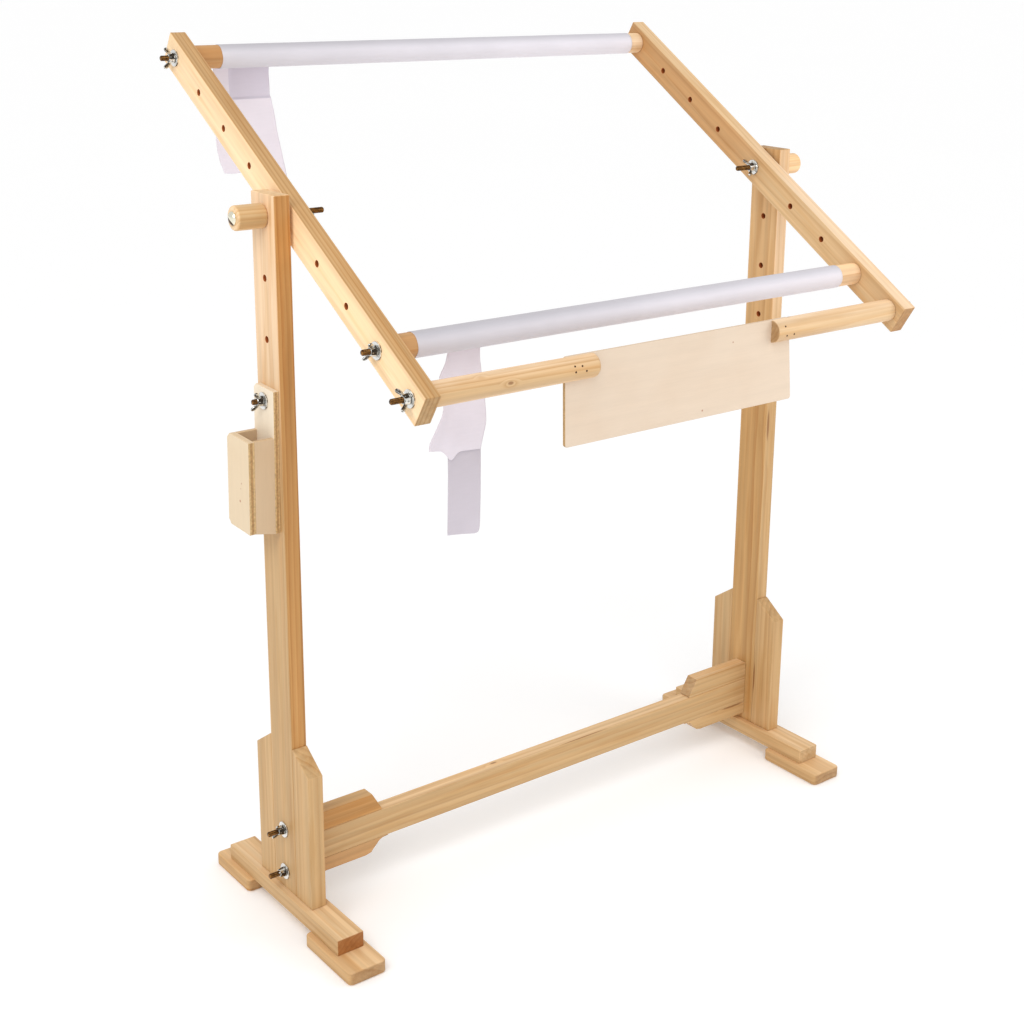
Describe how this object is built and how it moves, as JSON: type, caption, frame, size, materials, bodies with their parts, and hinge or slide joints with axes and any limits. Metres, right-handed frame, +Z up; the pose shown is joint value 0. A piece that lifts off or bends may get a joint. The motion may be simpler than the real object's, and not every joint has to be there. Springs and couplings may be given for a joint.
{
  "type": "embroidery frame on stand",
  "caption": "Floor-standing wooden scroll frame for embroidery: tilting side arms with cloth-wrapped rollers between two braced posts, with a chart rest and a hanging tool box.",
  "frame": {"origin": "on the floor, midway between the feet and under the pivot axis", "axes": "+X to the stitcher's right, +Y away from the stitcher, +Z up"},
  "size_m": [0.7882, 0.5032, 0.9457],
  "materials": {
    "pine": "satin",
    "dowel_wood": "satin",
    "plywood": "matte",
    "cotton_cloth": "matte",
    "zinc_steel": "satin",
    "yellow_steel": "satin",
    "nail_steel": "satin"
  },
  "bodies": {
    "stand": {"foot_screws": "zinc_steel", "left_foot_beam": "pine", "left_front_gusset": "pine", "left_front_pad": "pine", "left_post": "pine", "left_rear_gusset": "pine", "left_rear_pad": "pine", "left_stretcher_bottom_block": "pine", "left_stretcher_top_block": "pine", "right_foot_beam": "pine", "right_front_gusset": "pine", "right_front_pad": "pine", "right_post": "pine", "right_rear_gusset": "pine", "right_rear_pad": "pine", "right_stretcher_bottom_block": "pine", "right_stretcher_top_block": "pine", "stand_washers": "zinc_steel", "stretcher_rail": "pine", "stretcher_studs": "zinc_steel", "tool_box_bolt": "zinc_steel"},
    "frame": {"frame_washers": "zinc_steel", "left_arm": "pine", "right_arm": "pine"},
    "upper_roller_body": {"upper_cloth_sleeve": "cotton_cloth", "upper_roller": "dowel_wood", "upper_roller_studs": "zinc_steel"},
    "lower_roller_body": {"lower_cloth_sleeve": "cotton_cloth", "lower_roller": "dowel_wood", "lower_roller_studs": "zinc_steel"},
    "upper_tail": {"upper_cloth_tail": "cotton_cloth"},
    "lower_tail": {"lower_cloth_tail": "cotton_cloth"},
    "rest_bar": {"left_rest_dowel": "dowel_wood", "panel_nails": "nail_steel", "rest_bar_studs": "zinc_steel", "rest_panel": "plywood", "right_rest_dowel": "dowel_wood"},
    "left_knob": {"left_pivot_bolt": "yellow_steel", "left_pivot_knob": "dowel_wood"},
    "right_knob": {"right_pivot_bolt": "yellow_steel", "right_pivot_knob": "dowel_wood"},
    "tool_box": {"tool_box_floor": "plywood", "tool_box_front_side": "plywood", "tool_box_panel": "plywood", "tool_box_plate": "plywood", "tool_box_rear_side": "plywood"},
    "left_lower_stretcher_nut": {"left_lower_stretcher_nut": "zinc_steel"},
    "left_upper_stretcher_nut": {"left_upper_stretcher_nut": "zinc_steel"},
    "left_upper_roller_nut": {"left_upper_roller_nut": "zinc_steel"},
    "left_lower_roller_nut": {"left_lower_roller_nut": "zinc_steel"},
    "left_rest_bar_nut": {"left_rest_bar_nut": "zinc_steel"},
    "left_pivot_nut": {"left_pivot_nut": "zinc_steel"},
    "right_lower_stretcher_nut": {"right_lower_stretcher_nut": "zinc_steel"},
    "right_upper_stretcher_nut": {"right_upper_stretcher_nut": "zinc_steel"},
    "right_upper_roller_nut": {"right_upper_roller_nut": "zinc_steel"},
    "right_lower_roller_nut": {"right_lower_roller_nut": "zinc_steel"},
    "right_rest_bar_nut": {"right_rest_bar_nut": "zinc_steel"},
    "right_pivot_nut": {"right_pivot_nut": "zinc_steel"},
    "tool_box_nut": {"tool_box_nut": "zinc_steel"}
  },
  "joints": [
    {"name": "frame_tilt", "type": "hinge", "parent": "stand", "child": "frame", "pos_m": [0, 0, 0.782], "axis": [1, 0, 0], "range_deg": [-108, 46]},
    {"name": "upper_roller_turn", "type": "hinge", "parent": "frame", "child": "upper_roller_body", "pos_m": [0, 0.22382, 0.91916], "axis": [1, 0, 0], "continuous": true},
    {"name": "lower_roller_turn", "type": "hinge", "parent": "frame", "child": "lower_roller_body", "pos_m": [0, -0.17095, 0.67724], "axis": [1, 0, 0], "continuous": true},
    {"name": "upper_tail_hang", "type": "hinge", "parent": "frame", "child": "upper_tail", "pos_m": [0, 0.22382, 0.91916], "axis": [1, 0, 0], "range_deg": [-46, 108]},
    {"name": "lower_tail_hang", "type": "hinge", "parent": "frame", "child": "lower_tail", "pos_m": [0, -0.17095, 0.67724], "axis": [1, 0, 0], "range_deg": [-46, 108]},
    {"name": "rest_bar_turn", "type": "hinge", "parent": "frame", "child": "rest_bar", "pos_m": [0, -0.22595, 0.64354], "axis": [1, 0, 0], "range_deg": [-215, 100]},
    {"name": "left_knob_turn", "type": "hinge", "parent": "stand", "child": "left_knob", "pos_m": [0, 0, 0.782], "axis": [1, 0, 0], "continuous": true},
    {"name": "right_knob_turn", "type": "hinge", "parent": "stand", "child": "right_knob", "pos_m": [0, 0, 0.782], "axis": [1, 0, 0], "continuous": true},
    {"name": "tool_box_swing", "type": "hinge", "parent": "stand", "child": "tool_box", "pos_m": [-0.36, 0, 0.5945], "axis": [1, 0, 0], "range_deg": [-90, 90]},
    {"name": "left_lower_stretcher_nut_turn", "type": "hinge", "parent": "stand", "child": "left_lower_stretcher_nut", "pos_m": [-0.362, 0, 0.0545], "axis": [1, 0, 0], "continuous": true},
    {"name": "left_upper_stretcher_nut_turn", "type": "hinge", "parent": "stand", "child": "left_upper_stretcher_nut", "pos_m": [-0.362, 0, 0.106], "axis": [1, 0, 0], "continuous": true},
    {"name": "left_upper_roller_nut_turn", "type": "hinge", "parent": "upper_roller_body", "child": "left_upper_roller_nut", "pos_m": [-0.34, 0.22382, 0.91916], "axis": [1, 0, 0], "continuous": true},
    {"name": "left_lower_roller_nut_turn", "type": "hinge", "parent": "lower_roller_body", "child": "left_lower_roller_nut", "pos_m": [-0.34, -0.17095, 0.67724], "axis": [1, 0, 0], "continuous": true},
    {"name": "left_rest_bar_nut_turn", "type": "hinge", "parent": "rest_bar", "child": "left_rest_bar_nut", "pos_m": [-0.34, -0.22595, 0.64354], "axis": [1, 0, 0], "continuous": true},
    {"name": "left_pivot_nut_turn", "type": "hinge", "parent": "left_knob", "child": "left_pivot_nut", "pos_m": [-0.314, 0, 0.782], "axis": [1, 0, 0], "continuous": true},
    {"name": "right_lower_stretcher_nut_turn", "type": "hinge", "parent": "stand", "child": "right_lower_stretcher_nut", "pos_m": [0.362, 0, 0.0545], "axis": [1, 0, 0], "continuous": true},
    {"name": "right_upper_stretcher_nut_turn", "type": "hinge", "parent": "stand", "child": "right_upper_stretcher_nut", "pos_m": [0.362, 0, 0.106], "axis": [1, 0, 0], "continuous": true},
    {"name": "right_upper_roller_nut_turn", "type": "hinge", "parent": "upper_roller_body", "child": "right_upper_roller_nut", "pos_m": [0.34, 0.22382, 0.91916], "axis": [1, 0, 0], "continuous": true},
    {"name": "right_lower_roller_nut_turn", "type": "hinge", "parent": "lower_roller_body", "child": "right_lower_roller_nut", "pos_m": [0.34, -0.17095, 0.67724], "axis": [1, 0, 0], "continuous": true},
    {"name": "right_rest_bar_nut_turn", "type": "hinge", "parent": "rest_bar", "child": "right_rest_bar_nut", "pos_m": [0.34, -0.22595, 0.64354], "axis": [1, 0, 0], "continuous": true},
    {"name": "right_pivot_nut_turn", "type": "hinge", "parent": "right_knob", "child": "right_pivot_nut", "pos_m": [0.314, 0, 0.782], "axis": [1, 0, 0], "continuous": true},
    {"name": "tool_box_nut_turn", "type": "hinge", "parent": "stand", "child": "tool_box_nut", "pos_m": [-0.366, 0, 0.5945], "axis": [1, 0, 0], "continuous": true}
  ],
  "couplings": [
    {"joint": "upper_tail_hang", "follows": "frame_tilt", "ratio": -1},
    {"joint": "lower_tail_hang", "follows": "frame_tilt", "ratio": -1}
  ]
}
